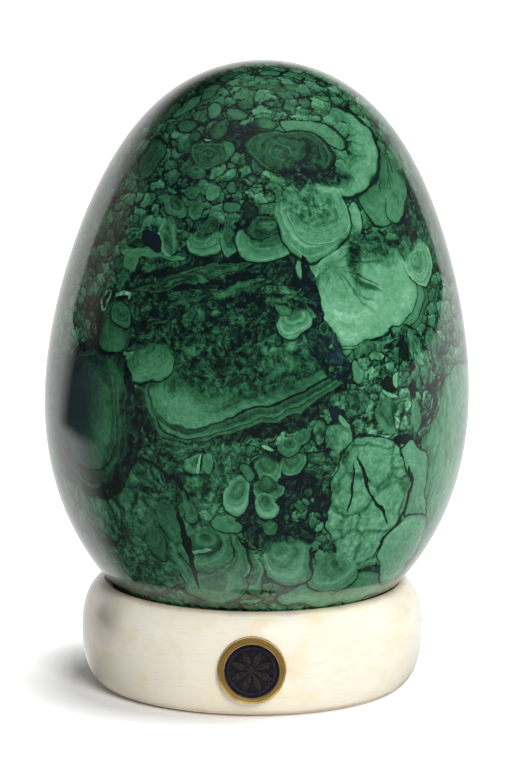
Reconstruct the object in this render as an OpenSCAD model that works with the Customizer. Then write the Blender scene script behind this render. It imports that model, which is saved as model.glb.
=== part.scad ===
/* [Egg] */
// Height of the stone egg, tip to tip
egg_h = 119.6; // [110:0.1:130]
// Width that the egg's outline is worked out from; its belly comes out 0.7 mm wider
egg_w = 84.1; // [80:0.1:86]
// Height of the egg's lower tip above the table
egg_base_z = 6.4; // [6.4:0.1:12]
// Lean of the egg to the right in its seat, in degrees
egg_lean = 1.6; // [0:0.1:2]

/* [Stand] */
// Width of the stand ring across its bulge
stand_w = 68.4; // [67:0.1:76]
// Height that the stand ring's rounded crown would reach if its mouth were not cut
stand_h = 21.5; // [21.3:0.1:22]
// Diameter of the hole right through the stand ring
bore_d = 44; // [36:0.5:44]
// Thickness of the felt pad under the stand
pad_t = 1.2; // [0.8:0.1:2]
// How far the felt pad stands below the stone
pad_proud = 0.3; // [0.2:0.1:0.6]

/* [Badge] */
// Diameter of the gilt rim of the badge
badge_d = 13.5; // [12:0.1:14.6]
// Height of the badge's centre above the table
badge_z = 10.3; // [8:0.1:11]
// Number of petals of the rosette on the badge
petals = 8; // [5:1:12]

/* [Seat] */
// Thickness of the seat washer, a cone of black felt
washer_t = 1.1; // [0.8:0.1:1.4]
// Free gap between the upright egg and the washer
egg_gap = 0.35; // [0.3:0.05:0.6]

/* [Hidden] */
$fn = 96;
// Extra length of cutting shapes past the surface that they cut
past = 1;

// The egg's half width is an ellipse's times 1 + a u + b u^2 + c u^3, with u from -1 to 1 going up
egg_a = -0.140;
egg_b = 0.025;
egg_c = 0.142;
egg_steps = 90;
// The egg leans about this height on the stand's axis, near the centre of its round bottom
lean_z = 38;

stand_r = stand_w / 2;
stand_mid = stand_h / 2;
// The outer wall is two quarter superellipses: how deep each cuts in from the bulge, and its power
crown_in = 6.5;
crown_power = 2.4;
foot_in = 4.4;
foot_power = 2.03;
wall_steps = 28;
// The crown ends at this radius, where the lip turns down into the mouth
crown_edge = 29.8;
lip_bevel = [0.1, 0.6];
bore_r = bore_d / 2;
bore_chamfer = 0.8;
seat_ledge = 0.5;

// The seat washer lies along the egg between these two heights, in a rebate with some clearance
seat_low_z = 14.6;
seat_high_z = 19.2;
seat_steps = 8;
seat_clear = 0.06;
// The stone stands this much further from the egg than the washer does
lip_clear = 0.10;
lip_top_z = 20.0;

pad_in_r = 23.8;
pad_out_r = 28.6;

// The badge stands on a flat counterbore, this far in front of the stand's axis
badge_floor = 32.6;
badge_r = badge_d / 2;
badge_t = 2.4;
socket_clear = 0.05;
rim_w = 0.8;
rim_round = 0.56;
bead_r = 0.32;
groove_r = 0.16;
groove_out = 0.04;
cup_floor_t = 0.5;
disc_t = 1.25;
disc_top = cup_floor_t + disc_t;
pocket_r = badge_r - rim_w;
window_r = pocket_r - 0.54;
post_r = 1.2;
post_l = 4.2;
post_hole_l = post_l + 0.3;

// The rosette: a thin ring, a round eye and pointed petals, all one flat relief
motif_t = 0.22;
motif_r = 4.8;
motif_line = 0.35;
eye_r = 0.9;
petal_start = 0.8;
petal_l = 3.6;
petal_w = 1.4;

// Half width of the upright egg at a height above the table
function egg_r(z) =
    let (u = 2 * (z - egg_base_z) / egg_h - 1)
    egg_w / 2 * sqrt(max(0, 1 - u * u)) * (1 + egg_a * u + egg_b * u * u + egg_c * pow(u, 3));

// The point that lies a distance d straight out from the upright egg's skin at height z
function off_egg(z, d) =
    let (step = 0.01)
    let (slope = (egg_r(z + step) - egg_r(z - step)) / (2 * step))
    let (l = sqrt(1 + slope * slope))
    [egg_r(z) + d / l, z - d * slope / l];

// Points that follow the egg at a distance d, between two heights
function along_egg(z0, z1, d) =
    [for (i = [0:seat_steps]) off_egg(z0 + (z1 - z0) * i / seat_steps, d)];

// Points along a quarter superellipse about [in_r, mid], from angle a0 to a1
function quarter(in_r, mid, w, h, power, a0, a1) =
    [for (i = [0:wall_steps])
        let (a = a0 + (a1 - a0) * i / wall_steps)
        [in_r + w * pow(cos(a), 2 / power), mid + h * pow(sin(a), 2 / power)]];

// Moves a shape drawn lying on its back, facing +Z, onto the front of the stand
module on_front() {
    translate([0, -badge_floor, badge_z]) rotate([90, 0, 0]) children();
}

module egg() {
    color("seagreen")
        translate([0, 0, lean_z]) rotate([0, egg_lean, 0]) translate([0, 0, -lean_z])
            rotate_extrude()
                polygon([for (i = [0:egg_steps])
                    let (z = egg_base_z + egg_h * (1 - cos(180 * i / egg_steps)) / 2)
                    [i == 0 || i == egg_steps ? 0 : egg_r(z), z]]);
}

// Half section of the stand: foot, bulged wall, crown, lip, rebate for the washer, and bore
module stand_section() {
    crown_a = acos(pow(1 - (stand_r - crown_edge) / crown_in, crown_power / 2));
    foot_wall = quarter(stand_r - foot_in, stand_mid, foot_in, pad_proud - stand_mid,
                        foot_power, 90, 0);
    crown_wall = quarter(stand_r - crown_in, stand_mid, crown_in, stand_mid,
                         crown_power, 0, crown_a);
    lip_gap = egg_gap + lip_clear;
    rebate_low_z = seat_low_z - seat_clear;
    rebate_high_z = seat_high_z + seat_clear;
    ledge = off_egg(rebate_low_z, lip_gap);
    polygon(concat(
        [[bore_r + bore_chamfer, pad_proud]],
        foot_wall,
        [for (i = [1:wall_steps]) crown_wall[i]],
        [off_egg(lip_top_z + lip_bevel[1], lip_gap + lip_bevel[0])],
        [off_egg(lip_top_z, lip_gap)],
        [off_egg(rebate_high_z, lip_gap)],
        along_egg(rebate_high_z, rebate_low_z, egg_gap + washer_t + seat_clear),
        [ledge],
        [[bore_r, ledge[1] - seat_ledge]],
        [[bore_r, pad_proud + bore_chamfer]]));
}

module stand_ring() {
    color("ivory")
        difference() {
            rotate_extrude() stand_section();
            translate([0, 0, -past]) difference() {
                cylinder(r = pad_out_r, h = pad_t + past);
                translate([0, 0, -past]) cylinder(r = pad_in_r, h = pad_t + 3 * past);
            }
            on_front() {
                cylinder(r = badge_r + socket_clear, h = badge_t + past);
                translate([0, 0, -post_hole_l])
                    cylinder(r = post_r + socket_clear, h = post_hole_l + past);
            }
        }
}

module seat_washer() {
    color([0.12, 0.12, 0.13])
        rotate_extrude()
            polygon(concat(along_egg(seat_low_z, seat_high_z, egg_gap),
                           along_egg(seat_high_z, seat_low_z, egg_gap + washer_t)));
}

module base_pad() {
    color([0.16, 0.24, 0.18])
        difference() {
            cylinder(r = pad_out_r, h = pad_t);
            translate([0, 0, -past]) cylinder(r = pad_in_r, h = pad_t + 2 * past);
        }
}

// Half section of the cup: floor, wall with a rounded shoulder, and a bead folded over the disc
module cup_section() {
    shoulder_z = badge_t - rim_round;
    difference() {
        union() {
            square([badge_r, cup_floor_t]);
            translate([pocket_r, 0]) square([rim_w, shoulder_z]);
            translate([pocket_r, 0]) square([rim_w - rim_round, badge_t]);
            translate([badge_r - rim_round, shoulder_z]) circle(r = rim_round);
            translate([window_r + bead_r, disc_top + bead_r]) circle(r = bead_r);
            translate([window_r + bead_r, disc_top])
                square([pocket_r - window_r, 2 * bead_r - groove_r / 2]);
        }
        translate([pocket_r + groove_out, badge_t]) circle(r = groove_r);
        translate([0, cup_floor_t]) square([pocket_r, disc_t]);
    }
}

module badge_cup() {
    color("goldenrod") on_front() rotate_extrude() cup_section();
}

module badge_post() {
    color("darkgoldenrod") on_front() translate([0, 0, -post_l]) cylinder(r = post_r, h = post_l);
}

module badge_disc() {
    color([0.07, 0.07, 0.2]) on_front() translate([0, 0, cup_floor_t]) cylinder(r = pocket_r, h = disc_t);
}

// One petal is where two equal circles cross, pointed at both ends
module petal(length, width) {
    r = (length * length + width * width) / (4 * width);
    translate([length / 2, 0]) intersection() {
        translate([0, r - width / 2]) circle(r = r);
        translate([0, width / 2 - r]) circle(r = r);
    }
}

module badge_motif() {
    color([0.25, 0.25, 0.26])
        on_front() translate([0, 0, disc_top]) linear_extrude(height = motif_t) {
            difference() {
                circle(r = motif_r);
                circle(r = motif_r - motif_line);
            }
            circle(r = eye_r);
            for (i = [0:petals - 1])
                rotate(360 * (i + 0.5) / petals)
                    translate([petal_start, 0]) petal(petal_l, petal_w);
        }
}

egg();
stand_ring();
seat_washer();
base_pad();
badge_cup();
badge_post();
badge_disc();
badge_motif();
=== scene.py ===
"""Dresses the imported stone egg, its ring stand and the round badge for a soft studio picture."""
import math
from collections import namedtuple

import bpy
import numpy as np
from mathutils import Matrix, Vector


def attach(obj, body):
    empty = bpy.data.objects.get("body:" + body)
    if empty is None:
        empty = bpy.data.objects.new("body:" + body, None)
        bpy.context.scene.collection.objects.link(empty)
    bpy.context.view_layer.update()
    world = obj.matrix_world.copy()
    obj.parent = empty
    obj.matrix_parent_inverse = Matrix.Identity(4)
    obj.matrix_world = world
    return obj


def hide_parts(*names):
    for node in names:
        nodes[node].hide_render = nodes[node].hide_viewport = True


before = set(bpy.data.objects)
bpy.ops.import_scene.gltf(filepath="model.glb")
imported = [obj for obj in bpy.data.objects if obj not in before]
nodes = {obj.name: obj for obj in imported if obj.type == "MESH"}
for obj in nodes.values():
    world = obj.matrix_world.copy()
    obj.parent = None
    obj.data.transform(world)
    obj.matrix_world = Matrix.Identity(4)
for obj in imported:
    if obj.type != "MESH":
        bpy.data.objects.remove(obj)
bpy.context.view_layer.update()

MM = 0.001

# The photograph's frame in pixels, and where and how its camera stood; the roll is in radians
IMAGE_W, IMAGE_H = 512, 760
AIM = Vector((0, 0, 60 * MM))
AIM_PIXEL = (254.0, 387.5)
PIXELS_PER_MM = 5.0
VIEW_DISTANCE = 1400 * MM
VIEW_DOWN = math.radians(12.0)
VIEW_ROLL = 0.0077
SENSOR = 36.0

# The egg's shape in mm, as its solid has it, with the terms of its cubic
EGG_HEIGHT = 119.6
EGG_WIDTH = 84.1
EGG_BASE = 6.4
EGG_TERMS = (-0.140, 0.025, 0.142)
EGG_LEAN = math.radians(1.6)
LEAN_HEIGHT = 38.0
# Rows and columns of the grid that its surface is worked out on
EGG_ROWS, EGG_COLS = 236, 420

# Height of the badge's middle above the table in mm
BADGE_HEIGHT = 10.3

# Light: the world's even share, and the two soft lamps' places in metres and powers in watts
AMBIENT = 0.17
LAMPS = {"key": ((0.35, -1.1, 0.75), 14.2), "side": ((1.1, 0.25, 0.7), 6.0)}
LAMP_SIZE = 0.5
LAMP_AIM = Vector((0, 0, 0.05))

# Half the floor's width in mm
FLOOR_HALF = 4000.0
# The floor's own glow to the camera is least in a round spot under the object and rises to 1, which is
# white: the spot's middle and the radii that the glow rises between, in mm
FLOOR_LIFT = 0.05
GLOW_MIDDLE = (-9, -4, 0)
GLOW_RADII = (27, 48)
# Brightness of the floor that the polish mirrors, where no paper lies
FLOOR_DIM = 0.06
# The room's colours: its dim walls, the greyer walls at the sides, and the ceiling
WALL_DIM, WALL_SIDE, CEILING = "#14171c", "#8f857e", "#6c6c6c"
WHITE, BLACK = (1, 1, 1, 1), (0, 0, 0, 1)


def rgb(hex_code):
    """sRGB hex to linear RGBA."""
    parts = [int(hex_code[i:i + 2], 16) / 255 for i in (1, 3, 5)]
    return tuple(c / 12.92 if c <= 0.04045 else ((c + 0.055) / 1.055) ** 2.4 for c in parts) + (1.0,)


def live(node):
    """A node's first output that is in use."""
    return next(o for o in node.outputs if o.enabled)


def add(tree, kind, *inputs, **named):
    """Adds a shader node; its kind may be followed by its operation. The inputs fill its live sockets in
    order. Of the named values, one with a capital letter fills the socket of that name, with _ for a
    space, and the others are the node's settings. A node given as an input stands for its first live
    output."""
    kind, _, operation = kind.partition(" ")
    node = tree.nodes.new("ShaderNode" + kind)
    if operation:
        node.operation = operation
    for name, value in named.items():
        if name[0].islower():
            setattr(node, name, value)
    filled = list(zip([s for s in node.inputs if s.enabled], inputs))
    filled += [(node.inputs[k.replace("_", " ")], v) for k, v in named.items() if k[0].isupper()]
    for socket, value in filled:
        if isinstance(value, bpy.types.Node):
            value = live(value)
        if isinstance(value, bpy.types.NodeSocket):
            tree.links.new(value, socket)
        elif value is not None:
            socket.default_value = value
    return node


def new_material(name):
    """An empty node material, its tree, and the point of the piece that is looked up, in mm."""
    material = bpy.data.materials.new(name)
    material.use_nodes = True
    tree = material.node_tree
    tree.nodes.clear()
    place = add(tree, "TexCoord").outputs["Object"]
    return material, tree, add(tree, "VectorMath SCALE", place, Scale=1 / MM)


def zone(tree, *ramps):
    """The product of straight ramps, each given as a value, the two ends that it runs between and its
    shares there."""
    share = None
    for ramp in ramps:
        step = add(tree, "MapRange", *ramp)
        share = step if share is None else add(tree, "Math MULTIPLY", share, step)
    return share


def camera_axes():
    """The camera's right, up and forward directions."""
    forward = Vector((0, math.cos(VIEW_DOWN), -math.sin(VIEW_DOWN)))
    right = Vector((1, 0, 0))
    up = right.cross(forward)
    c, s = math.cos(VIEW_ROLL), math.sin(VIEW_ROLL)
    return right * c + up * s, up * c - right * s, forward


RIGHT, UP, FORWARD = camera_axes()
EYE = AIM - FORWARD * VIEW_DISTANCE


def make_camera():
    """The photograph's camera: a long lens that looks a little down at the egg's middle."""
    data = bpy.data.cameras.new("camera")
    camera = bpy.data.objects.new("camera", data)
    bpy.context.scene.collection.objects.link(camera)
    turn = Matrix((RIGHT, UP, -FORWARD)).transposed().to_4x4()
    camera.matrix_world = Matrix.Translation(EYE) @ turn
    data.sensor_width = SENSOR
    data.lens = PIXELS_PER_MM / MM * VIEW_DISTANCE * SENSOR / IMAGE_H
    data.shift_x = (IMAGE_W / 2 - AIM_PIXEL[0]) / IMAGE_H
    data.shift_y = (AIM_PIXEL[1] - IMAGE_H / 2) / IMAGE_H
    data.clip_start, data.clip_end = 0.05, 20
    bpy.context.scene.camera = camera


make_camera()


def egg_half_width(z):
    """Half width of the upright egg at height z, in mm: an ellipse times a cubic in u from -1 to 1."""
    u = np.clip(2 * (z - EGG_BASE) / EGG_HEIGHT - 1, -1, 1)
    a, b, c = EGG_TERMS
    return EGG_WIDTH / 2 * np.sqrt(1 - u * u) * (1 + a * u + b * u * u + c * u ** 3)


def lean(points, back=False):
    """Turns points in mm about the Y direction through the lean's height; back undoes it."""
    angle = -EGG_LEAN if back else EGG_LEAN
    c, s = math.cos(angle), math.sin(angle)
    x, y, z = points[..., 0], points[..., 1], points[..., 2] - LEAN_HEIGHT
    return np.stack([c * x + s * z, y, c * z - s * x + LEAN_HEIGHT], -1)


def on_egg(cols, rows):
    """Points on the leaned egg, in mm, that the photograph shows at these pixels: each pixel's ray is
    followed in quarter millimetres from 60 mm in front of the aim to 40 mm behind it, and the first
    crossing of the skin is halved down. Where a ray misses, its nearest point is taken."""
    cols, rows = np.asarray(cols, float), np.asarray(rows, float)
    focal = PIXELS_PER_MM / MM * VIEW_DISTANCE
    across = (cols - AIM_PIXEL[0]) / focal
    rise = (AIM_PIXEL[1] - rows) / focal
    ray = (np.array(FORWARD)[None] + across[:, None] * np.array(RIGHT)[None]
           + rise[:, None] * np.array(UP)[None])
    eye = np.array(EYE) / MM

    def outside(t):
        p = lean(eye + ray * t[:, None], back=True)
        return np.hypot(p[:, 0], p[:, 1]) - egg_half_width(p[:, 2])

    steps = VIEW_DISTANCE / MM + np.linspace(-60, 40, 401)
    gaps = np.stack([outside(np.full(len(cols), t)) for t in steps], 1)
    best = gaps.argmin(1)
    inside = gaps < 0
    first = np.where(inside.any(1), inside.argmax(1), best)
    low, high = steps[np.maximum(first - 1, 0)], steps[first]
    for _ in range(20):
        middle = (low + high) / 2
        hit = outside(middle) < 0
        high, low = np.where(hit, middle, high), np.where(hit, low, middle)
    return eye + ray * high[:, None]


def grid_mesh(name, points, closed_around=True, poles=None):
    """A mesh from a grid of points in mm, rows by columns, joined round the columns, with one point
    at each end where poles gives them."""
    rows, cols = points.shape[:2]
    flat = points.reshape(-1, 3)
    steps = cols if closed_around else cols - 1
    i, j = np.meshgrid(np.arange(rows - 1), np.arange(steps), indexing="ij")
    k = (j + 1) % cols
    quads = np.stack([i * cols + j, i * cols + k, (i + 1) * cols + k, (i + 1) * cols + j], -1)
    quads = quads.reshape(-1, 4)
    loops, sizes = [quads.ravel()], [np.full(len(quads), 4)]
    if poles is not None:
        j = np.arange(cols)
        k = (j + 1) % cols
        low, high = len(flat), len(flat) + 1
        flat = np.concatenate([flat, np.asarray(poles, float)])
        fans = [np.stack([np.full(cols, low), k, j], -1),
                np.stack([np.full(cols, high), (rows - 1) * cols + j, (rows - 1) * cols + k], -1)]
        for fan in fans:
            loops.append(fan.ravel())
            sizes.append(np.full(cols, 3))
    loops, sizes = np.concatenate(loops), np.concatenate(sizes)
    mesh = bpy.data.meshes.new(name)
    mesh.vertices.add(len(flat))
    mesh.vertices.foreach_set("co", (flat * MM).astype(np.float32).ravel())
    mesh.loops.add(len(loops))
    mesh.loops.foreach_set("vertex_index", loops.astype(np.int32))
    mesh.polygons.add(len(sizes))
    starts = np.concatenate([[0], np.cumsum(sizes)[:-1]])
    mesh.polygons.foreach_set("loop_start", starts.astype(np.int32))
    mesh.polygons.foreach_set("use_smooth", np.ones(len(sizes), bool))
    mesh.update(calc_edges=True)
    mesh.validate()
    piece = bpy.data.objects.new(name, mesh)
    bpy.context.scene.collection.objects.link(piece)
    return piece


def make_egg():
    """The stone egg: its half width at each height, carried round its axis and leaned."""
    t = np.linspace(0, math.pi, EGG_ROWS + 2)[1:-1]
    z = EGG_BASE + EGG_HEIGHT * (1 - np.cos(t)) / 2
    a = np.linspace(0, 2 * math.pi, EGG_COLS, endpoint=False)
    r = egg_half_width(z)[:, None]
    points = np.stack([r * np.cos(a), r * np.sin(a), np.repeat(z[:, None], EGG_COLS, 1)], -1)
    poles = lean(np.array([[0, 0, EGG_BASE], [0, 0, EGG_BASE + EGG_HEIGHT]]))
    return grid_mesh("malachite_egg", lean(points), poles=poles)


# Looks of the stone's growths. rise: lighter towards the rim; bands: contrast of the growth rings, each
# pitch mm apart; the rest say how much of each fine pattern shows. A hole is an open pocket
Look = namedtuple("Look", "rise bands pitch cobble moss vein rays streak")
LOOKS = {
    "cobble": Look(0.00, 0.03, 1.2, 1.00, 0.20, 0.0, 0.0, 0.0),
    "fan": Look(0.28, 0.20, 1.0, 0.00, 0.24, 0.0, 0.15, 0.0),
    "smooth": Look(0.12, 0.08, 1.4, 0.00, 0.18, 0.0, 0.0, 0.0),
    "rayed": Look(0.14, 0.06, 1.2, 0.00, 0.12, 0.0, 0.85, 0.0),
    "moss": Look(0.00, 0.04, 1.4, 0.25, 1.00, 0.0, 0.0, 0.25),
    "vein": Look(0.00, 0.03, 1.8, 0.00, 0.38, 0.7, 0.0, 0.20),
    "streak": Look(0.00, 0.03, 1.5, 0.10, 0.45, 0.3, 0.0, 0.65),
    "silk": Look(0.00, 0.03, 1.5, 0.00, 0.20, 0.1, 0.0, 0.35),
    "blade": Look(0.00, 0.03, 1.5, 1.00, 0.90, 0.0, 0.0, 0.5),
    "eye": Look(0.10, 0.20, 0.9, 0.00, 0.35, 0.0, 0.0, 0.0),
    "layers": Look(0.00, 0.30, 1.3, 0.20, 0.80, 0.0, 0.0, 0.0),
    "plain": Look(0.00, 0.03, 1.5, 0.00, 0.15, 0.0, 0.0, 0.0),
    "hole": Look(0.00, 0.00, 1.5, 0.00, 0.32, 0.0, 0.0, 0.0),
}

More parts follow.
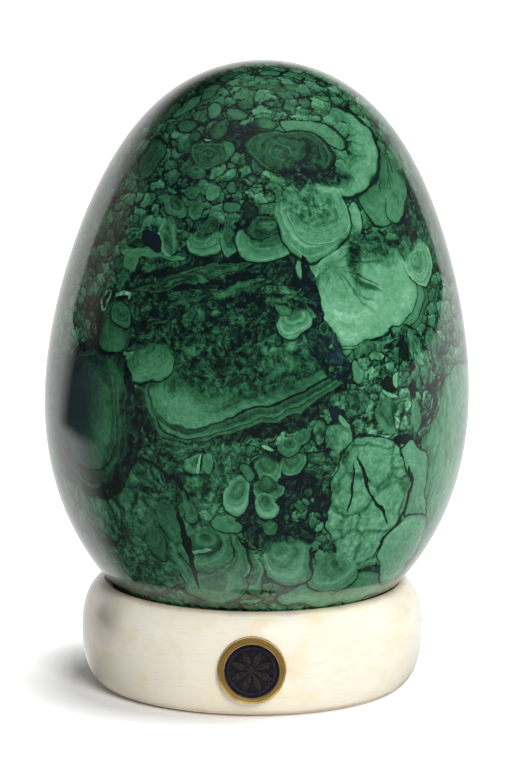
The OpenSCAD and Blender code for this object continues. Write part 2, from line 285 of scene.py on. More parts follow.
# The growths seen from the front, drawn as ellipses, from the deepest layer to the topmost: column
# and row of the middle, half width and half height, all in the photograph's pixels, tilt in degrees, look
# and lightness, then the width of the dark seam round the rim, the place that the rings start from, in
# half sizes, for a growth that fades into those below it how wide it fades, and how far it turns to navy
Growth = namedtuple("Growth", "col row half_w half_h tilt look tone seam x y fade navy",
                    defaults=(0.35, 0, 0, 0, 0))
GROWTHS = [Growth(*g) for g in (
    (256, 330, 240, 320, 0, "cobble", 0.50, 0),
    (295, 98, 82, 40, -6, "cobble", 0.57, 0, 0, 0, 0.35),
    (150, 190, 62, 100, -32, "cobble", 0.40, 0, 0, 0, 0.3, 0.1),
    # the top: lozenges and blades
    (190, 92, 34, 20, 34, "moss", 0.34, 0, 0, 0, 0.3),
    (186, 105, 19, 6, 40, "smooth", 0.54),
    (209, 91, 14, 6, 42, "smooth", 0.52),
    (232, 76, 13, 4, 18, "smooth", 0.48),
    (270, 73, 12, 4.5, 10, "smooth", 0.66, 0.3),
    (213, 111, 9, 6, 38, "smooth", 0.62),
    (238, 112, 12, 5, 0, "smooth", 0.60),
    (264, 124, 13, 5, 0, "smooth", 0.62),
    (186, 127, 10, 6, 10, "smooth", 0.46),
    (195, 136, 8, 5, 10, "smooth", 0.46),
    (164, 116, 17, 4.5, 36, "smooth", 0.38),
    (152, 158, 9, 22, -24, "smooth", 0.40, 0.5),
    (244, 131, 17, 8, 10, "moss", 0.18, 0, 0, 0, 0.4, 0.3),
    # a painted glint: a tiny white dash, not a growth
    (211, 136.5, 4.5, 0.8, 4, "plain", 0.98, 0.02),
    # rosettes and round cobbles below them
    (222, 127, 11, 11, 0, "eye", 0.46),
    (208, 152, 21, 15, 0, "eye", 0.40),
    (229, 148, 6.5, 9, 0, "smooth", 0.62, 0.3, -0.5),
    (182, 148, 9, 8, 0, "fan", 0.42, 0.3, 0, 0.4),
    (222, 172, 17, 10, 0, "cobble", 0.60),
    (195, 172, 9, 8, 0, "fan", 0.46, 0.3, 0, 0.5),
    (212, 192, 7, 9.5, 0, "smooth", 0.64, 0.3, 0, 0.4),
    (192, 190, 8, 7, 0, "fan", 0.48, 0.3, 0, 0.5),
    (174, 206, 13, 10, 0, "fan", 0.46, 0.3, 0, 0.5),
    (196, 208, 10, 9, 0, "fan", 0.50, 0.3, 0, 0.5),
    (232, 188, 6, 6, 0, "smooth", 0.52),
    (230, 208, 8, 6, 0, "smooth", 0.54),
    (262, 195, 16, 8, -8, "cobble", 0.60),
    (262, 178, 12, 5, 0, "moss", 0.40),
    # the banded dark zone and the ground round it
    (205, 296, 132, 52, 8, "layers", 0.30, 0.3, 0.2, 0.8),
    (205, 266, 62, 4, 7, "moss", 0.08),
    (202, 273, 60, 4.5, 11, "eye", 0.43, 0.3),
    (218, 281, 44, 4, 9, "moss", 0.08),
    (232, 288, 38, 3.6, 17, "eye", 0.52, 0.3),
    (186, 303, 26, 3.6, 18, "eye", 0.48, 0.3),
    (228, 302, 22, 6, 10, "moss", 0.06),
    (172, 283, 40, 5, 8, "eye", 0.34, 0.3),
    (281, 288, 22, 5, 8, "moss", 0.44),
    (157, 325, 14, 2.0, 14, "smooth", 0.58, 0.3),
    (148, 308, 5, 12, -8, "moss", 0.40),
    (163, 308, 5, 12, -8, "moss", 0.40),
    (199, 320, 18, 14, 8, "fan", 0.50, 0.5, 0, 0.5),
    (238, 315, 24, 7, 14, "fan", 0.54, 0.4, 0, 0.5),
    (210, 306, 8, 5, 14, "smooth", 0.46),
    (278, 303, 16, 6, 6, "cobble", 0.52, 0.3, 0, 0.4),
    (262, 324, 12, 6, -8, "moss", 0.50, 0.2),
    # the smooth patch at the left and the hole over it
    (140, 238, 14, 10, -20, "moss", 0.30, 0.1),
    (122, 262, 11, 7, 0, "smooth", 0.42),
    (135, 261, 10, 12, -14, "smooth", 0.52, 0.1, 0, -0.4),
    (152, 254, 34, 5, -6, "smooth", 0.62, 0.1, 0, -0.4),
    (166, 236, 12, 17, 6, "fan", 0.54, 0.3, 0, 0.6),
    (161, 245, 6, 13, 34, "smooth", 0.76, 0.05),
    (165, 241, 7, 12, 30, "fan", 0.48, 0.05),
    (150.5, 243, 6, 14, 25, "hole", 0.08, 0.05, 0, 0, 0, 0.4),
    (140, 230.5, 6, 1.6, 32, "smooth", 0.62, 0.05),
    # the row of rounded lobes
    (285, 224, 23, 20, 30, "fan", 0.64, 0.4, -0.3, 0.6),
    (205, 241, 19, 20, 0, "fan", 0.56, 0.5, 0, 0.7),
    (230, 240, 9.5, 19, 0, "fan", 0.55, 0.5, 0, 0.7),
    (264, 242, 28, 22, -8, "fan", 0.60, 0.5, 0.1, 0.6),
    (265, 227, 17, 11, -8, "eye", 0.44, 0.3),
    (209, 227, 12, 8, 0, "eye", 0.42, 0.2),
    (248, 211, 9, 9, 0, "hole", 0.16, 0.2, 0, 0, 0, 0.15),
    # the big lobe at the left middle: rim bands, light belly and mossy middle
    (190, 403, 54, 50, 8, "moss", 0.10, 0),
    (275, 370, 138, 59, 24, "moss", 0.10, 0),
    (189, 398, 46, 37, 8, "fan", 0.28, 0, 0.2, 0.5),
    (275, 370, 130, 46, 24, "fan", 0.30, 0, 0, 0.5),
    (275, 370, 126, 41, 24, "fan", 0.36, 0.2, 0, 0.5),
    (189, 397, 43, 32.5, 8, "plain", 0.12, 0),
    (275, 370, 120, 30.5, 24, "plain", 0.12, 0),
    (189, 395, 41.5, 30.5, 8, "fan", 0.48, 0, 0.2, 0.6),
    (275, 370, 118, 28, 24, "fan", 0.46, 0, 0, 0.5),
    (183, 404, 37, 19, 4, "smooth", 0.64, 0, 0, 0, 0.7),
    (238, 346, 86, 47, 4, "moss", 0.25, 0, 0, 0, 0.3),
    (282, 352, 24, 20, 0, "moss", 0.44, 0, 0, 0, 0.5),
    (147, 363, 29, 20, 12, "fan", 0.56, 0.7, 0.2, 0.6),
    (152, 372, 22, 9, 14, "smooth", 0.66, 0, 0, 0, 0.8),
    # the upper right: eye, crescent, banded lobe and the sheaf beside them
    (430, 205, 34, 82, 24, "streak", 0.46, 0.4),
    (410, 215, 22, 42, 24, "moss", 0.28, 0.2, 0, 0, 0.3, 0.15),
    (383, 183, 24, 44, -2, "rayed", 0.56, 0.35, 0.1, 0.9),
    (394, 204, 11, 18, 10, "rayed", 0.60, 0.3, 0.1, 0.8),
    (340, 150, 43, 50, 0, "smooth", 0.76, 1.0, -0.4, 0.1),
    (318, 138, 42, 41, 0, "cobble", 0.54, 0, 0, 0, 0.22),
    (316, 132, 37, 9.5, -17, "smooth", 0.68, 0.4),
    (289, 151, 46, 21, -4, "fan", 0.32, 0.5),
    (311, 151, 8, 8, 0, "eye", 0.28, 0.1),
    (284, 152, 21, 17, 0, "eye", 0.38, 0.2),
    (318, 174, 34, 10, -8, "moss", 0.20, 0, 0, 0, 0.3, 0.1),
    (351, 232, 9, 32, -12, "smooth", 0.74, 0.3, 0, -0.7),
    (328, 257, 38, 15, 24, "smooth", 0.84, 0.4, 0.4, 0.5),
    (312, 221, 38, 42, -4, "fan", 0.68, 0.7, -0.2, 0.7),
    (318, 214, 31, 30, -4, "fan", 0.64, 0.06, -0.3, 0.6),
    (310, 206, 22, 18, -20, "moss", 0.54, 0, 0, 0, 0.5),
    # the big light lobe, its rim lines and the dark wedge over it
    (372, 297, 69, 54, 24, "rayed", 0.50, 0.2, 0, 0.6),
    (371, 296, 65, 50, 24, "rayed", 0.60, 0.25, 0, 0.6),
    (365, 294, 60, 49, 24, "rayed", 0.80, 0.25, -0.3, 0.65),
    (336, 308, 24, 22, 0, "smooth", 0.90, 0, 0, 0, 0.7),
    (372, 246, 25, 15, -12, "moss", 0.36, 0, 0, 0, 0.5),
    (358, 262, 5, 20, 4, "moss", 0.22, 0, 0, 0, 0.8),
    (420, 263, 17, 22, 4, "fan", 0.74, 0.45, -0.3, 0.3),
    # the navy seam down the middle
    (311, 292, 6, 36, 14, "moss", 0.14, 0, 0, 0, 0, 0.1),
    (328, 352, 15, 36, 32, "moss", 0.18, 0, 0, 0, 0, 0.2),
    (335, 352, 9, 15, 20, "moss", 0.36, 0, 0, 0, 0.5, 0.75),
    (322, 330, 6, 6, 0, "fan", 0.46, 0.2),
    (330, 346, 5, 5, 0, "cobble", 0.50, 0.2),
    (330, 369, 6, 5, 0, "cobble", 0.46, 0.2),
    (341, 366, 5, 4, 0, "moss", 0.40, 0.2),
    # a painted highlight: the next two entries are a pale thin streak along the seam, not growths
    (340, 326, 2.6, 16, 16, "smooth", 0.96, 0, 0, 0, 0.9),
    (346, 345, 2.6, 8, 30, "smooth", 0.80, 0, 0, 0, 0.9),
    (292, 322, 17.5, 19.5, 0, "fan", 0.70, 0.4, 0, 0.75),
    (283, 308, 9, 6, 0, "fan", 0.54, 0.2, 0, 0.6),
    # the right middle: dark ground with light blades
    (400, 392, 56, 62, -10, "blade", 0.46, 0.8),
    (374, 349, 30, 6, 14, "streak", 0.60, 0.1),
    (393, 346, 12, 3.5, 12, "moss", 0.18, 0.1),
    (403, 349, 4, 9, 10, "hole", 0.14, 0.1),
    (390, 410, 30, 26, 0, "blade", 0.56, 0.1),
    (414, 350, 5, 20, 14, "streak", 0.58, 0.2),
    (424, 362, 4.5, 26, 10, "streak", 0.62, 0.2),
    (433, 350, 4, 28, 6, "streak", 0.50, 0.2),
    (417, 376, 4, 20, 16, "streak", 0.66, 0.2),
    (357, 372, 4, 13, 8, "smooth", 0.66, 0.2),
    (412, 392, 4, 11, 8, "hole", 0.10, 0.1),
    (388, 412, 11, 21, 0, "fan", 0.54, 0.2, 0, 0.8),
    (390, 385, 10, 8, -32, "hole", 0.05, 0.1),
    (396.5, 379, 2.0, 9, 6, "smooth", 0.88, 0.05),
    (390, 394, 10, 1.8, -26, "smooth", 0.88, 0.05),
    (410, 363, 4.5, 4.5, 0, "hole", 0.03, 0.1),
    (419, 358, 3.0, 9, 34, "smooth", 0.78, 0.1),
    (350, 405, 22, 14, 10, "moss", 0.46, 0.2),
    (337, 415, 9, 6, -30, "hole", 0.08, 0.1, 0, 0, 0, 0.3),
    (347, 424, 11, 2, -50, "smooth", 0.78, 0),
    (404, 422, 13, 18, 0, "blade", 0.58, 0.2),
    (416, 417, 7, 15, 8, "smooth", 0.66, 0.3, 0, 0.6),
    (400, 440, 18, 5.5, 6, "hole", 0.10, 0.3, 0, 0, 0, 0.1),
    (430, 408, 1.6, 32, -24, "plain", 0.14, 0.1),
    # the light veined stone at the lower right
    (446, 480, 34, 120, -12, "silk", 0.70, 0.4),
    (405, 505, 22, 66, -8, "smooth", 0.80),
    (368, 506, 42, 72, -2, "vein", 0.80, 0.5),
    (352, 452, 20, 26, 0, "vein", 0.76, 0, 0, 0, 0.3),
    (352, 528, 24, 26, 0, "vein", 0.82, 0, 0, 0, 0.4),
    (366, 478, 1.8, 24, 18, "plain", 0.14, 0.1),
    (380, 510, 1.6, 18, 38, "plain", 0.16, 0.1),
    (352, 486, 1.2, 22, -6, "plain", 0.24, 0.1),
    (408, 492, 1.8, 26, -2, "plain", 0.16, 0.1),
    (392, 534, 1.8, 30, -30, "plain", 0.16, 0.1),
    (364, 572, 13, 7, 0, "moss", 0.40, 0, 0, 0, 0.5),
    (345, 590, 70, 14, 8, "smooth", 0.66, 0.3),
    (401, 550, 18, 42, -22, "smooth", 0.80),
    # the lower middle: stacked lobes, the dark pocket and the nested fans
    (285, 505, 48, 54, 0, "moss", 0.16, 0, 0, 0, 0, 0.1),
    (318, 466, 13, 16, 0, "moss", 0.38),
    (301, 434, 10, 8, 0, "fan", 0.54, 0.3, 0, 0.4),
    (319, 432, 7, 11, 0, "moss", 0.50),
    (295, 463, 13, 14, 20, "fan", 0.56, 0.4, 0, 0.6),
    (290, 445, 12, 11, 0, "fan", 0.52, 0.3, 0, 0.6),
    (270, 470, 14, 13, 0, "fan", 0.62, 0.3, 0, 0.7),
    (269, 489, 16, 15, 0, "fan", 0.52, 0.3, 0, 0.7),
    (269, 508, 14, 14, 0, "fan", 0.66, 0.3, 0, 0.7),
    (300, 512, 9, 12, 0, "cobble", 0.44, 0.2),
    (318, 524, 9, 13, 0, "cobble", 0.54, 0.2),
    (309, 498, 8, 8, 0, "cobble", 0.46, 0.2),
    (326, 486, 5, 9, 0, "moss", 0.44, 0.2),
    (250, 572, 13, 30, 14, "fan", 0.56, 0.4, 0, 0.6),
    (333, 575, 27, 24, -4, "fan", 0.62, 0.4, -0.1, 0.85),
    (288, 562, 25, 32, 30, "fan", 0.60, 0.7, 0.1, 0.8),
    (269, 530, 9, 8, 0, "fan", 0.48, 0.4, 0, 0.5),
    # the lower left: streaked stone, the thick seam and the wide fan
    (138, 530, 62, 76, 8, "streak", 0.50, 0.5),
    (100, 512, 20, 34, 20, "streak", 0.54, 0.6),
    (146, 560, 32, 44, 20, "moss", 0.46, 0, 0, 0, 0.5),
    (185, 472, 66, 34, 0, "moss", 0.40, 0, 0, 0, 0.2),
    (168, 520, 11, 26, 24, "smooth", 0.46, 0.4, 0, 0.6),
    (157, 545, 9, 24, 20, "smooth", 0.42, 0.3, 0, 0.6),
    (211, 560, 37, 48, 14, "fan", 0.52, 0.6, -0.1, 0.75),
    (218, 588, 32, 16, 6, "fan", 0.62, 0.2, 0, 0.9),
    (206, 548, 27, 24, 10, "fan", 0.52, 0.3, -0.1, 0.7),
    (203, 542, 18, 12, 0, "fan", 0.46, 0.3, 0, 0.5),
    (199, 551, 12, 1.6, 6, "smooth", 0.84, 0.02),
    (189, 551, 2.8, 46, 19, "plain", 0.05, 0.1),
    (189, 512, 9, 12, 0, "fan", 0.50, 0.4, 0, 0.5),
    (227, 525, 16, 10, -14, "smooth", 0.62, 0.4, 0, 0.5),
    (237, 496, 12, 21, 0, "fan", 0.66, 0.4, 0, 0.4),
    (247, 474, 6, 11, 0, "smooth", 0.58),
    (198, 466, 18, 11, 0, "fan", 0.52, 0.2, 0, 0.3),
    (207, 466, 8, 11, 0, "smooth", 0.60, 0.1),
    (197, 467, 2.4, 10, -6, "plain", 0.92, 0),
    (200, 466, 1.6, 9, -4, "plain", 0.02, 0),
    # the left: the smooth lobe, the lines round it and the lobes above
    (94, 420, 50, 80, 0, "streak", 0.20, 0.4),
    (92, 420, 42, 72, 0, "fan", 0.34, 0.5, 0.5),
    (91, 420, 36, 64, 0, "fan", 0.26, 0.3, 0.5),
    (89, 418, 31, 54, 0, "plain", 0.54, 0.6, 0.6, 0.2),
    (78, 406, 22, 44, -4, "plain", 0.30, 0, 0, 0, 0.7, 0.7),
    (116, 326, 17, 25, -10, "smooth", 0.42, 0.6, 0.2, 0.4),
    (113, 336, 13, 16, -10, "smooth", 0.50, 0.3, 0.2, 0.6),
    (121, 317, 11, 11, 0, "fan", 0.48, 0.3, 0.2, 0.6),
    (107, 303, 5.5, 12, -16, "moss", 0.84, 0.1),
    (107, 303, 3.6, 9.5, -16, "moss", 0.06, 0),
    (124, 297, 11, 5.5, 4, "moss", 0.88, 0.1),
    (123, 299, 8.4, 3.6, 4, "moss", 0.04, 0),
    # a painted glint: a small white dash, not a growth
    (270, 449, 7.5, 2.8, -20, "plain", 1.0, 0.2),
)]


# A share too small to see of the layer below, so that each growth is worked out after the one under it
# and the whole chain needs little memory at once
HOLD = 1e-7
# A growth's open side, where it started: how far round it goes, how wide its look fades in there, and how
# far off its seam is
OPEN_WIDTH = 1.5
OPEN_FADE = 0.5
OPEN_SEAM = 5.0
# Width in mm of a seam whose width in the table is 1, and the least width that is worked with
SEAM_SHARE = 0.62
SEAM_LEAST = 0.02
# How deep a growth reaches into the stone, in its larger half size
GROWTH_DEPTH = 1.5
# With more moss or cobbles than this, a growth's rim is ragged
RAGGED_ABOVE = 0.3
# Depth behind the middle, in mm, at which the back's growths are drawn off in full, and the mm that they
# move for a noise of 1
BACK_FULL = 26.0
BACK_WANDER = 60.0
# What a growth carries up the chain: A its lightness, rise and bands; B its cobbles, moss and navy; C its
# veins, rays and streaks; D where its rings start and how many it has. This is the ground under them all
GROUND = {"A": (0.3, 0.0, 0.0), "B": (1.0, 0.0, 0.0), "C": (0.0, 0.0, 0.0), "D": (0.0, 0.0, 20.0),
          "Place": (0.0, 0.0, 0.0), "Seam": 9.0}


def open_group(name, vectors, numbers, out_vectors, out_numbers):
    """A new node group with these sockets; gives the group and its input and output node."""
    group = bpy.data.node_groups.new(name, "ShaderNodeTree")
    for names, side, kind in ((vectors, "INPUT", "Vector"), (numbers, "INPUT", "Float"),
                              (out_vectors, "OUTPUT", "Vector"), (out_numbers, "OUTPUT", "Float")):
        for socket in names:
            group.interface.new_socket(socket, in_out=side, socket_type="NodeSocket" + kind)
    return group, group.nodes.new("NodeGroupInput").outputs, group.nodes.new("NodeGroupOutput").inputs


def stamp_group():
    """A node group that lays one growth over those below it. The point is turned and shrunk into the
    growth's own ball, its length there is 1 at the rim, and inside the rim the growth's look wins.
    Towards the open side, where the growth started, its look fades in across its rim. Seam keeps the
    distance to the nearest rim that still shows, in that seam's own widths, and is further off there."""
    group, start, end = open_group(
        "growth", ["Point", "Centre", "Turn", "Half", "Open", "New A", "New B", "New C", "New D",
                   "Old A", "Old B", "Old C", "Old D", "Old place"],
        ["Reach", "Old seam"], ["A", "B", "C", "D", "Place"], ["Seam"])
    here = add(group, "VectorMath MULTIPLY_ADD", start["Old place"], (HOLD, HOLD, HOLD), start["Point"])
    place = add(group, "Mapping", here, start["Centre"], start["Turn"], start["Half"],
                vector_type="TEXTURE")
    length = add(group, "VectorMath LENGTH", place)
    inside = add(group, "Math LESS_THAN", length, 1.0)
    margin = add(group, "Math SUBTRACT", 1.0, length)
    open_side = add(group, "VectorMath DOT_PRODUCT", place, start["Open"])
    open_side = add(group, "Math MAXIMUM", open_side, 0.0)
    fade = add(group, "Math MULTIPLY_ADD", open_side, OPEN_FADE, 0.004)
    cover = add(group, "Math DIVIDE", margin, fade, use_clamp=True)
    away = add(group, "Math ABSOLUTE", margin)
    far = add(group, "Math MULTIPLY", open_side, OPEN_SEAM)
    far = add(group, "Math MULTIPLY_ADD", away, start["Reach"], far)
    nearest = add(group, "Math MINIMUM", far, start["Old seam"])
    for name in "ABC":
        mixed = add(group, "Mix", cover, start["Old " + name], start["New " + name], data_type="VECTOR")
        group.links.new(live(mixed), end[name])
    mixed = add(group, "Mix", inside, start["Old D"], start["New D"], data_type="VECTOR")
    group.links.new(live(mixed), end["D"])
    mixed = add(group, "Mix", inside, start["Old place"], place, data_type="VECTOR")
    group.links.new(live(mixed), end["Place"])
    seam = add(group, "Mix", inside, nearest, far, data_type="FLOAT")
    group.links.new(live(seam), end["Seam"])
    return group


def veil_group():
    """A node group that fades one look into those below it across its rim, and leaves their rings and
    seams as they are."""
    group, start, end = open_group(
        "veil", ["Point", "Centre", "Turn", "Half", "New A", "New B", "New C", "Old A", "Old B",
                 "Old C"], ["Fade"], ["A", "B", "C"], [])
    here = add(group, "VectorMath MULTIPLY_ADD", start["Old A"], (HOLD, HOLD, HOLD), start["Point"])
    place = add(group, "Mapping", here, start["Centre"], start["Turn"], start["Half"],
                vector_type="TEXTURE")
    length = add(group, "VectorMath LENGTH", place)
    margin = add(group, "Math SUBTRACT", 1.0, length)
    margin = add(group, "Math DIVIDE", margin, start["Fade"])
    cover = add(group, "Math ADD", margin, 0.5, use_clamp=True)
    for name in "ABC":
        mixed = add(group, "Mix", cover, start["Old " + name], start["New " + name], data_type="VECTOR")
        group.links.new(live(mixed), end[name])
    return group


def growths():
    """Each growth of the table with its middle, turn and half sizes in mm."""
    centres = on_egg([g.col for g in GROWTHS], [g.row for g in GROWTHS])
    for growth, centre in zip(GROWTHS, centres):
        c, s = math.cos(math.radians(growth.tilt)), math.sin(math.radians(growth.tilt))
        turn = Matrix((RIGHT * c + UP * s, UP * c - RIGHT * s, -FORWARD)).transposed()
        w, h = growth.half_w / PIXELS_PER_MM, growth.half_h / PIXELS_PER_MM
        yield growth, centre, turn.to_euler(), (w, h, GROWTH_DEPTH * max(w, h))


def stone_material():
    """Polished malachite: a dense copper carbonate cut across its growths. Each growth is a bundle of
    fine rings, light where it grew fast and near black where it grew slowly."""
    material, tree, point = new_material("polished_malachite")
    # slow wander of the growths' rims, about 8 mm from bend to bend, and a quick one of about 2 mm
    slow = add(tree, "TexNoise", point, Scale=1 / 8, Detail=1.0).outputs["Color"]
    quick = add(tree, "TexNoise", point, Scale=1 / 2.2, Detail=2.0).outputs["Color"]
    bend = add(tree, "VectorMath SUBTRACT", slow, (0.5, 0.5, 0.5))
    smooth_point = add(tree, "VectorMath MULTIPLY_ADD", bend, (4.0, 4.0, 4.0), point)
    shake = add(tree, "VectorMath SUBTRACT", quick, (0.5, 0.5, 0.5))
    rough_point = add(tree, "VectorMath MULTIPLY_ADD", shake, (1.8, 1.8, 1.8), smooth_point)
    mild_point = add(tree, "VectorMath MULTIPLY_ADD", shake, (1.0, 1.0, 1.0), smooth_point)

    # the table gives the front; behind, the growths are the front's mirrored in the egg's middle plane,
    # and further back they are drawn off by up to about 15 mm, so that no two sides match
    depth_in = add(tree, "SeparateXYZ", point).outputs[1]
    behind = add(tree, "Math MAXIMUM", depth_in, 0.0)
    back_share = add(tree, "MapRange", behind, 0.0, BACK_FULL, 0.0, 1.0, interpolation_type="SMOOTHSTEP")
    wander = add(tree, "TexNoise", point, Scale=1 / 34, Detail=0.0).outputs["Color"]
    wander = add(tree, "VectorMath SUBTRACT", wander, (0.5, 0.42, 0.62))
    wander = add(tree, "VectorMath MULTIPLY", wander, add(tree, "Math MULTIPLY", back_share, BACK_WANDER))
    folded = add(tree, "CombineXYZ", 0.0, add(tree, "Math MULTIPLY", behind, -2.0), 0.0)
    folded = add(tree, "VectorMath", folded, wander)
    rough_front = add(tree, "VectorMath", rough_point, folded)
    mild_front = add(tree, "VectorMath", mild_point, folded)

    stamp_kind, veil_kind = stamp_group(), veil_group()
    carried = dict(GROUND)
    for growth, centre, turn, half in growths():
        look = LOOKS[growth.look]
        reach = math.sqrt(half[0] * half[1])
        values = {"Centre": centre, "Turn": turn, "Half": half,
                  "New A": (growth.tone, look.rise, look.bands),
                  "New B": (look.cobble, look.moss, growth.navy),
                  "New C": (look.vein, look.rays, look.streak)}
        stamp = tree.nodes.new("ShaderNodeGroup")
        stamp.node_tree = veil_kind if growth.fade else stamp_kind
        if growth.fade:
            values["Fade"] = growth.fade * 2
        else:
            values["New D"] = (growth.x, growth.y, reach / look.pitch)
            values["Reach"] = reach / max(growth.seam * SEAM_SHARE, SEAM_LEAST)
            values["Open"] = (growth.x * OPEN_WIDTH, growth.y * OPEN_WIDTH, 0)
        for name, value in values.items():
            stamp.inputs[name].default_value = value
        ragged = max(look.moss, look.cobble) > RAGGED_ABOVE
        tree.links.new((rough_front if ragged else mild_front).outputs[0], stamp.inputs["Point"])
        for name in GROUND:
            old = "Old " + name.lower() if len(name) > 1 else "Old " + name
            if old in stamp.inputs:
                if isinstance(carried[name], bpy.types.NodeSocket):
                    tree.links.new(carried[name], stamp.inputs[old])
                else:
                    stamp.inputs[old].default_value = carried[name]
                carried[name] = stamp.outputs[name]
    looks = [add(tree, "SeparateXYZ", carried[name]).outputs for name in "ABCD"]
    tone, rise, bands = looks[0]
    cobble_share, moss_share, navy = looks[1]
    vein_share, ray_share, streak_share = looks[2]
    start_x, start_y, count = looks[3]
    place, seam = carried["Place"], carried["Seam"]

    # rings round the growth's start: the point lies on a copy of the rim, shrunk towards the start f by
    # the factor t, so with d from the start to the point,
    # t (1 - f.f) = d.f + sqrt((d.f)^2 + (1 - f.f) d.d)
    focus = add(tree, "CombineXYZ", start_x, start_y)
    from_start = add(tree, "VectorMath SUBTRACT", place, focus)
    along = add(tree, "VectorMath DOT_PRODUCT", from_start, focus)
    ff = add(tree, "VectorMath DOT_PRODUCT", focus, focus)
    dd = add(tree, "VectorMath DOT_PRODUCT", from_start, from_start)
    rest = add(tree, "Math SUBTRACT", 1.0, ff)
    square = add(tree, "Math MULTIPLY_ADD", along, along, add(tree, "Math MULTIPLY", rest, dd))
    root = add(tree, "Math SQRT", square)
    depth = add(tree, "Math DIVIDE", add(tree, "Math", along, root), rest)

    # growth rings: uneven bands from a noise along t, with a dark hairline here and there
    seed = add(tree, "Math MULTIPLY", count, 5.3)
    ring_at = add(tree, "Math MULTIPLY_ADD", depth, count, seed)
    rings = add(tree, "TexNoise", W=ring_at, Scale=0.8, Detail=2.0, Roughness=0.6, noise_dimensions="1D")
    broad = add(tree, "MapRange", rings, 0.3, 0.7, -0.6, 0.6)
    hair_noise = add(tree, "TexNoise", W=ring_at, Scale=1.6, Detail=0.0, noise_dimensions="1D")
    off_middle = add(tree, "Math ABSOLUTE", add(tree, "Math", hair_noise, -0.5))
    hair = add(tree, "MapRange", off_middle, 0.0, 0.05, -0.7, 0.0)
    tone = add(tree, "Math MULTIPLY_ADD", add(tree, "Math", broad, hair), bands, tone)
    slope = add(tree, "Math", depth, -0.5)
    tone = add(tree, "Math MULTIPLY_ADD", slope, rise, tone)

    # cobbles: rounded cells about 3 mm wide and flatter than that, each with its own tone and lighter on
    # its upper side, in dark gaps that narrow and close here and there, over a finer crackle 1.3 mm wide
    crumbs = add(tree, "TexNoise", point, Scale=1 / 1.0, Detail=2.0).outputs["Color"]
    crumbs = add(tree, "VectorMath SUBTRACT", crumbs, (0.5, 0.5, 0.5))
    crumbly = add(tree, "VectorMath MULTIPLY_ADD", crumbs, (1.5, 1.5, 1.5), rough_point)
    flat_point = add(tree, "VectorMath MULTIPLY", crumbly, (1 / 3.0, 1 / 3.0, 1 / 2.1))
    cells = add(tree, "TexVoronoi", flat_point, Scale=1.0, Randomness=1.0)
    walls = add(tree, "TexVoronoi", flat_point, Scale=1.0, Randomness=1.0, feature="DISTANCE_TO_EDGE")
    round_off = add(tree, "MapRange", cells.outputs["Distance"], 0.45, 0.9, 0.0, 0.10)
    wall = add(tree, "Math SUBTRACT", walls, round_off)
    gaps = add(tree, "TexNoise", point, Scale=1 / 3.0, Detail=2.0)
    gap = add(tree, "MapRange", gaps, 0.35, 0.65, -0.05, 0.06)
    wall = add(tree, "Math SUBTRACT", wall, gap)
    wall = add(tree, "MapRange", wall, -0.04, 0.07, -0.36, 0.06, interpolation_type="SMOOTHSTEP")
    over = add(tree, "VectorMath SUBTRACT", flat_point, cells.outputs["Position"])
    over = add(tree, "Math MULTIPLY", add(tree, "SeparateXYZ", over).outputs[2], 0.22)
    crackle = add(tree, "TexVoronoi", crumbly, Scale=1 / 1.3, feature="DISTANCE_TO_EDGE")
    crackle = add(tree, "MapRange", crackle, 0.0, 0.20, -0.16, 0.03)
    own = add(tree, "SeparateColor", cells.outputs["Color"]).outputs[0]
    own = add(tree, "Math MULTIPLY_ADD", own, 0.30, crackle)
    own = add(tree, "Math", own, over)
    cobble = add(tree, "Math", add(tree, "Math", own, -0.10), wall)
    tone = add(tree, "Math MULTIPLY_ADD", cobble, cobble_share, tone)

    # moss: ragged dark tufts about 1.5 mm across
    tufts = add(tree, "TexNoise", rough_point, Scale=1 / 1.5, Detail=5.0, Roughness=0.75, Distortion=0.4)
    tufts = add(tree, "MapRange", tufts, 0.38, 0.62, -0.26, 0.26)
    tone = add(tree, "Math MULTIPLY_ADD", tufts, moss_share, tone)

    # veins: dark cracks about 9 mm apart, and finer ones about 3 mm apart
    cracks = add(tree, "TexVoronoi", rough_point, Scale=1 / 9.0, feature="DISTANCE_TO_EDGE")
    crack = add(tree, "MapRange", cracks, 0.0, 0.07, -0.45, 0.0)
    fine = add(tree, "TexVoronoi", mild_point, Scale=1 / 3.2, feature="DISTANCE_TO_EDGE")
    crack = add(tree, "Math", add(tree, "MapRange", fine, 0.0, 0.1, -0.14, 0.0), crack)
    tone = add(tree, "Math MULTIPLY_ADD", crack, vein_share, tone)

    # rays: fine dark lines that run out from the growth's start
    spread = add(tree, "SeparateXYZ", from_start)
    angle = add(tree, "Math ARCTAN2", spread.outputs[1], spread.outputs[0])
    fibre_at = add(tree, "CombineXYZ", add(tree, "Math MULTIPLY", angle, 9.0),
                   add(tree, "Math MULTIPLY", depth, 1.6))
    fibres = add(tree, "TexNoise", fibre_at, Scale=1.0, Detail=2.0, noise_dimensions="2D")
    fibres = add(tree, "MapRange", fibres, 0.30, 0.42, -0.5, 0.0)
    fade_out = add(tree, "MapRange", depth, 0.45, 0.75, 1.0, 0.0)
    fibres = add(tree, "Math MULTIPLY", fibres, fade_out)
    tone = add(tree, "Math MULTIPLY_ADD", fibres, ray_share, tone)

    # streaks: dark threads that run up the stone
    long_point = add(tree, "VectorMath MULTIPLY", rough_point, (1 / 1.2, 1 / 1.2, 1 / 8.0))
    threads = add(tree, "TexNoise", long_point, Scale=1.0, Detail=3.0)
    threads = add(tree, "MapRange", threads, 0.35, 0.65, -0.26, 0.26)
    tone = add(tree, "Math MULTIPLY_ADD", threads, streak_share, tone)

    # cloud: slow lightness changes all over, about 12 mm across
    cloud = add(tree, "TexNoise", point, Scale=1 / 12, Detail=2.0)
    tone = add(tree, "Math", add(tree, "MapRange", cloud, 0.3, 0.7, -0.12, 0.02), tone)

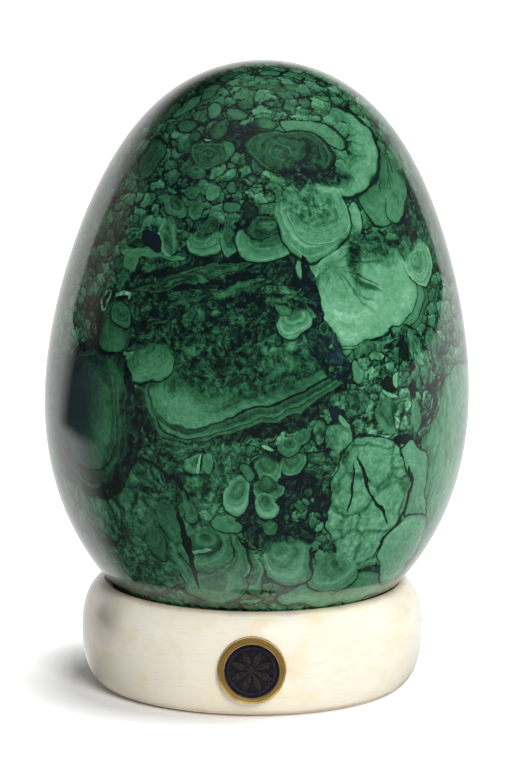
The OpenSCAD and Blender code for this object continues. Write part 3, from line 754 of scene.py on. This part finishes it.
    # grain: the polished ends of fibres; real ones are 0.05 mm and these 0.5 mm, coarse enough to show
    grain = add(tree, "TexNoise", point, Scale=1 / 0.9, Detail=3.0, Roughness=0.7)
    tone = add(tree, "Math", add(tree, "MapRange", grain, 0.35, 0.65, -0.06, 0.06), tone)

    # seams: near black lines where two growths meet, their width swelling and thinning, with the stone a
    # little darker beside them
    swell = add(tree, "TexNoise", point, Scale=1 / 4.0, Detail=1.0)
    swell = add(tree, "MapRange", swell, 0.3, 0.7, 0.3, 1.3)
    line = add(tree, "Math DIVIDE", seam, swell)
    halo = add(tree, "MapRange", line, 0.5, 7.0, -0.10, 0.02)
    tone = add(tree, "Math", halo, tone)
    line = add(tree, "MapRange", line, 0.2, 1.3, 0.18, 1.0, interpolation_type="SMOOTHSTEP")
    tone = add(tree, "Math MULTIPLY", tone, line)

    ramp = add(tree, "ValToRGB", tone)
    stops = ((0.0, "#0d1618"), (0.1, "#13231e"), (0.2, "#183427"), (0.3, "#1f4530"), (0.4, "#28583b"),
             (0.5, "#336a48"), (0.6, "#417b58"), (0.7, "#4f8b67"), (0.8, "#5f9b76"), (0.9, "#6fa984"),
             (1.0, "#93c2a6"))
    while len(ramp.color_ramp.elements) < len(stops):
        ramp.color_ramp.elements.new(0.5)
    for element, (at, code) in zip(ramp.color_ramp.elements, stops):
        element.position, element.color = at, rgb(code)
    blue = add(tree, "Mix", navy, ramp, rgb("#1a2336"), data_type="RGBA")
    shader = add(tree, "BsdfPrincipled", Base_Color=blue, Roughness=0.05, IOR=1.75)
    add(tree, "OutputMaterial", shader)
    return material


def cream_material():
    """Polished cream calcite, turned on a lathe: a pale warm stone with soft milky clouds, faint honey
    patches and hair-fine grain, with painted shade: a grey patch at the left of the crown, a warm band at
    the foot and a brown line at the lip."""
    material, tree, point = new_material("polished_cream_calcite")
    # milky clouds about 14 mm across and honey patches about 6 mm across
    clouds = add(tree, "TexNoise", point, Scale=1 / 14, Detail=3.0, Distortion=0.5)
    patches = add(tree, "TexNoise", point, Scale=1 / 6, Detail=4.0, Roughness=0.6)
    cloud = add(tree, "MapRange", clouds, 0.35, 0.65, 0.0, 1.0)
    patch = add(tree, "MapRange", patches, 0.52, 0.68, 0.0, 0.6)
    colour = add(tree, "Mix", cloud, rgb("#f7efd9"), rgb("#fcf6e6"), data_type="RGBA")
    colour = add(tree, "Mix", patch, colour, rgb("#f5e6bd"), data_type="RGBA")
    # fine level grain, 0.35 mm thick and a few millimetres long, as turning brings it out
    long_point = add(tree, "VectorMath MULTIPLY", point, (1 / 5, 1 / 5, 1 / 0.35))
    grain = add(tree, "TexNoise", long_point, Scale=1.0, Detail=2.0)
    grain = add(tree, "MapRange", grain, 0.56, 0.72, 0.0, 0.22)
    colour = add(tree, "Mix", grain, colour, rgb("#d9c6a0"), data_type="RGBA")
    # painted shade: the lowest 1.5 mm of the foot, where it stands on the table, is darkened to a warm tan
    height = add(tree, "SeparateXYZ", point).outputs[2]
    uneven = add(tree, "Math MULTIPLY_ADD", patches, 1.6, height)
    foot = add(tree, "MapRange", uneven, 1.0, 2.6, 0.75, 0.0, interpolation_type="SMOOTHSTEP")
    colour = add(tree, "Mix", foot, colour, rgb("#c79f63"), data_type="RGBA")
    # painted shade: a brown line about 1 mm wide where the crown turns down into the mouth, next to the egg
    radius = add(tree, "VectorMath MULTIPLY", point, (1, 1, 0))
    radius = add(tree, "VectorMath LENGTH", radius)
    radius = add(tree, "Math MULTIPLY_ADD", patches, 1.6, radius)
    lip = zone(tree, (radius, 30.4, 32.0, 0.8, 0.0), (height, 18.5, 19.5, 0.0, 1.0))
    colour = add(tree, "Mix", lip, colour, rgb("#8a6c3c"), data_type="RGBA")
    # painted shade: a grey-brown patch at the left of the crown, beside the egg: its middle and its half
    # sizes in mm
    painted_crown_shade = add(tree, "Mapping", point, (-28.5, -16.0, 16.5), None, (8.0, 10.0, 6.5), vector_type="TEXTURE")
    painted_crown_shade = add(tree, "VectorMath LENGTH", painted_crown_shade)
    painted_crown_shade = add(tree, "Math MULTIPLY_ADD", clouds, 0.8, painted_crown_shade)
    painted_crown_shade = add(tree, "MapRange", painted_crown_shade, 0.5, 1.4, 0.6, 0.0, interpolation_type="SMOOTHSTEP")
    colour = add(tree, "Mix", painted_crown_shade, colour, rgb("#92877a"), data_type="RGBA")
    gloss = add(tree, "MapRange", patches, 0.3, 0.7, 0.10, 0.20)
    skin = add(tree, "Bump", Height=clouds, Strength=0.05, Distance=0.3 * MM)
    add(tree, "OutputMaterial",
        add(tree, "BsdfPrincipled", Base_Color=colour, Roughness=gloss, IOR=1.55, Normal=skin))
    return material


def felt_material(name, dark, light):
    """Pressed wool felt: matt, with matted fibres; real fibres are 0.03 mm, drawn here 0.25 mm thick."""
    material, tree, point = new_material(name)
    fibres = add(tree, "TexNoise", point, Scale=1 / 0.5, Detail=4.0, Roughness=0.8, Distortion=3.0)
    share = add(tree, "MapRange", fibres, 0.35, 0.65, 0.0, 1.0)
    colour = add(tree, "Mix", share, rgb(dark), rgb(light), data_type="RGBA")
    nap = add(tree, "Bump", Height=fibres, Strength=0.8, Distance=0.25 * MM)
    add(tree, "OutputMaterial",
        add(tree, "BsdfPrincipled", Base_Color=colour, Roughness=0.95, Specular_IOR_Level=0.2,
            Sheen_Weight=0.35, Normal=nap))
    return material


def brass_material(name, clean, worn, smooth, rough):
    """Brass with fine rub marks and a thin brown tarnish, a dull film that isn't metal and gathers in
    clouds about 2 mm across."""
    material, tree, point = new_material(name)
    clouds = add(tree, "TexNoise", point, Scale=1 / 2, Detail=5.0, Roughness=0.65)
    share = add(tree, "MapRange", clouds, 0.35, 0.7, 0.0, 1.0)
    colour = add(tree, "Mix", share, rgb(clean), rgb(worn), data_type="RGBA")
    gloss = add(tree, "MapRange", clouds, 0.3, 0.7, smooth, rough)
    metal = add(tree, "MapRange", clouds, 0.3, 0.7, 0.85, 0.62)
    # rub marks 0.1 mm apart, drawn as coarse as they need to show
    marks = add(tree, "TexNoise", point, Scale=1 / 0.3, Detail=3.0, Roughness=0.7)
    skin = add(tree, "Bump", Height=marks, Strength=0.12, Distance=0.05 * MM)
    add(tree, "OutputMaterial",
        add(tree, "BsdfPrincipled", Base_Color=colour, Roughness=gloss, Metallic=metal, Normal=skin))
    return material


def enamel_material():
    """Dark navy stove enamel over a pebbled ground: near black in the middle and bluer at the rim, with
    fine dust specks under a soft gloss."""
    material, tree, point = new_material("navy_enamel")
    from_middle = add(tree, "VectorMath MULTIPLY", add(tree, "VectorMath", point, (0, 0, -BADGE_HEIGHT)),
                      (1, 0, 1))
    radius = add(tree, "VectorMath LENGTH", from_middle)
    rim = add(tree, "MapRange", radius, 3.4, 5.4, 0.0, 1.0)
    colour = add(tree, "Mix", rim, rgb("#1b1a1f"), rgb("#17152e"), data_type="RGBA")
    ground = add(tree, "TexNoise", point, Scale=1 / 0.5, Detail=3.0, Roughness=0.6)
    speck = add(tree, "MapRange", ground, 0.56, 0.66, 0.0, 0.5)
    colour = add(tree, "Mix", speck, colour, rgb("#4a4844"), data_type="RGBA")
    skin = add(tree, "Bump", Height=ground, Strength=0.5, Distance=0.12 * MM)
    add(tree, "OutputMaterial",
        add(tree, "BsdfPrincipled", Base_Color=colour, Roughness=0.3, Specular_IOR_Level=0.3, Normal=skin))
    return material


def pewter_material():
    """Cast pewter relief gone dull: grey, a little darker in its pores."""
    material, tree, point = new_material("dull_pewter")
    pores = add(tree, "TexNoise", point, Scale=1 / 0.4, Detail=4.0, Roughness=0.7)
    share = add(tree, "MapRange", pores, 0.4, 0.65, 0.0, 1.0)
    colour = add(tree, "Mix", share, rgb("#55524c"), rgb("#2c2b2c"), data_type="RGBA")
    skin = add(tree, "Bump", Height=pores, Strength=0.4, Distance=0.08 * MM)
    add(tree, "OutputMaterial",
        add(tree, "BsdfPrincipled", Base_Color=colour, Roughness=0.5, Metallic=0.7, Normal=skin))
    return material


def dress(piece, material):
    """Gives a piece one material in all its slots."""
    slots = piece.data.materials
    if len(slots) == 0:
        slots.append(material)
    for i in range(len(slots)):
        slots[i] = material


egg = make_egg()
dress(egg, stone_material())
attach(egg, "egg")
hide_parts("egg")

dress(nodes["stand_ring"], cream_material())
dress(nodes["seat_washer"], felt_material("black_wool_felt", "#0c0c0d", "#2a2a2b"))
dress(nodes["base_pad"], felt_material("green_wool_felt", "#16281c", "#2f4a38"))
dress(nodes["badge_cup"], brass_material("gilt_brass", "#ecc878", "#b88e4a", 0.14, 0.30))
dress(nodes["badge_post"], brass_material("raw_brass", "#b89a5c", "#7c6238", 0.28, 0.5))
dress(nodes["badge_disc"], enamel_material())
dress(nodes["badge_motif"], pewter_material())


def make_floor():
    """A pale floor that keeps the object's shadow and glows to the camera, more so further out. The
    polish mirrors paper on it at the back and the sides, a strip of paper close in front, and dim floor
    elsewhere."""
    ends = (-FLOOR_HALF, FLOOR_HALF)
    floor = grid_mesh("floor", np.array([[[x, y, 0.0] for x in ends] for y in ends]), closed_around=False)
    material, tree, point = new_material("pale_paper")
    x, y, _ = add(tree, "SeparateXYZ", point).outputs
    # the direction from the object to the point: its share to the right and its share to the back
    bearing = add(tree, "VectorMath NORMALIZE", add(tree, "CombineXYZ", x, y))
    to_right, to_back, _ = add(tree, "SeparateXYZ", bearing).outputs
    wider = add(tree, "MapRange", to_right, -0.1, 0.1, 0.12, 0.0)
    back = add(tree, "MapRange", add(tree, "Math", to_back, wider), 0.55, 0.76, 0.0, 1.0)
    right = zone(tree, (to_back, -0.30, 0.6, 0.0, 1.0), (to_right, 0.0, 0.1, 0.0, 1.0))
    # the paper at the left ends 200 to 250 mm from the object
    left = zone(tree, (to_right, 0.0, 0.1, 1.0, 0.0), (to_back, -0.15, 0.3, 0.0, 1.0),
                (x, -250, -200, 0.0, 1.0))
    strip = zone(tree, (y, -60, -38, 0.0, 0.8), (add(tree, "Math ABSOLUTE", x), 10, 36, 1.0, 0.0))
    sheet = FLOOR_DIM
    for share in (back, right, left, strip):
        sheet = add(tree, "Math MAXIMUM", share, sheet)
    mirrored = add(tree, "Emission", WHITE, sheet)

    away = add(tree, "VectorMath DISTANCE", point, GLOW_MIDDLE)
    glow = add(tree, "MapRange", away, *GLOW_RADII, FLOOR_LIFT, 1.0)
    glow = add(tree, "Emission", WHITE, glow)
    path = add(tree, "LightPath")
    glow = add(tree, "MixShader", path.outputs["Is Camera Ray"], add(tree, "Emission", BLACK), glow)
    paint = add(tree, "BsdfDiffuse", rgb("#f4f4f4"))
    seen = add(tree, "AddShader", paint, glow)
    add(tree, "OutputMaterial", add(tree, "MixShader", path.outputs["Is Glossy Ray"], seen, mirrored))
    dress(floor, material)


def make_world():
    """White to the camera and an even light on everything, while the polish mirrors a room: a white
    backdrop low down behind the object, dim walls, greyer at the sides, and a grey ceiling."""
    world = bpy.data.worlds.new("studio")
    bpy.context.scene.world = world
    world.use_nodes = True
    tree = world.node_tree
    tree.nodes.clear()
    path = add(tree, "LightPath")
    ray = add(tree, "TexCoord").outputs["Generated"]
    level = add(tree, "VectorMath NORMALIZE", add(tree, "VectorMath MULTIPLY", ray, (1, 1, 0)))
    to_right, to_back, _ = add(tree, "SeparateXYZ", level).outputs
    height = add(tree, "SeparateXYZ", ray).outputs[2]
    wider = add(tree, "MapRange", to_right, -0.1, 0.1, 0.08, 0.0)
    backdrop = zone(tree, (add(tree, "Math", to_back, wider), 0.71, 0.76, 0.0, 1.0),
                    (height, 0.14, 0.40, 1.0, 0.0))
    side = zone(tree, (to_back, 0.1, 0.35, 0.0, 1.0), (to_right, -0.1, 0.1, 1.0, 0.3),
                (height, -0.01, 0.05, 0.0, 1.0), (height, 0.3, 0.5, 1.0, 0.0))
    ceiling = add(tree, "MapRange", height, 0.6, 0.95, 0.0, 1.0)
    room = rgb(WALL_DIM)
    for share, colour in ((side, rgb(WALL_SIDE)), (ceiling, rgb(CEILING)), (backdrop, WHITE)):
        room = add(tree, "Mix", share, room, colour, data_type="RGBA")
    even = add(tree, "Background", WHITE, AMBIENT)
    unseen = add(tree, "MixShader", path.outputs["Is Glossy Ray"], even, add(tree, "Background", room, 1.0))
    white = add(tree, "Background", WHITE, 1.0)
    add(tree, "OutputWorld", add(tree, "MixShader", path.outputs["Is Camera Ray"], unseen, white))


def hang_lamps():
    """Two soft square lamps, at the front and at the right, which the polish doesn't mirror."""
    for name, (place, power) in LAMPS.items():
        data = bpy.data.lights.new(name, "AREA")
        data.shape, data.size, data.energy = "SQUARE", LAMP_SIZE, power
        lamp = bpy.data.objects.new(name, data)
        bpy.context.scene.collection.objects.link(lamp)
        lamp.location = place
        lamp.rotation_euler = (Vector(place) - LAMP_AIM).to_track_quat("Z", "Y").to_euler()
        lamp.visible_glossy = False


make_floor()
make_world()
hang_lamps()
bpy.context.scene.view_settings.view_transform = "Standard"
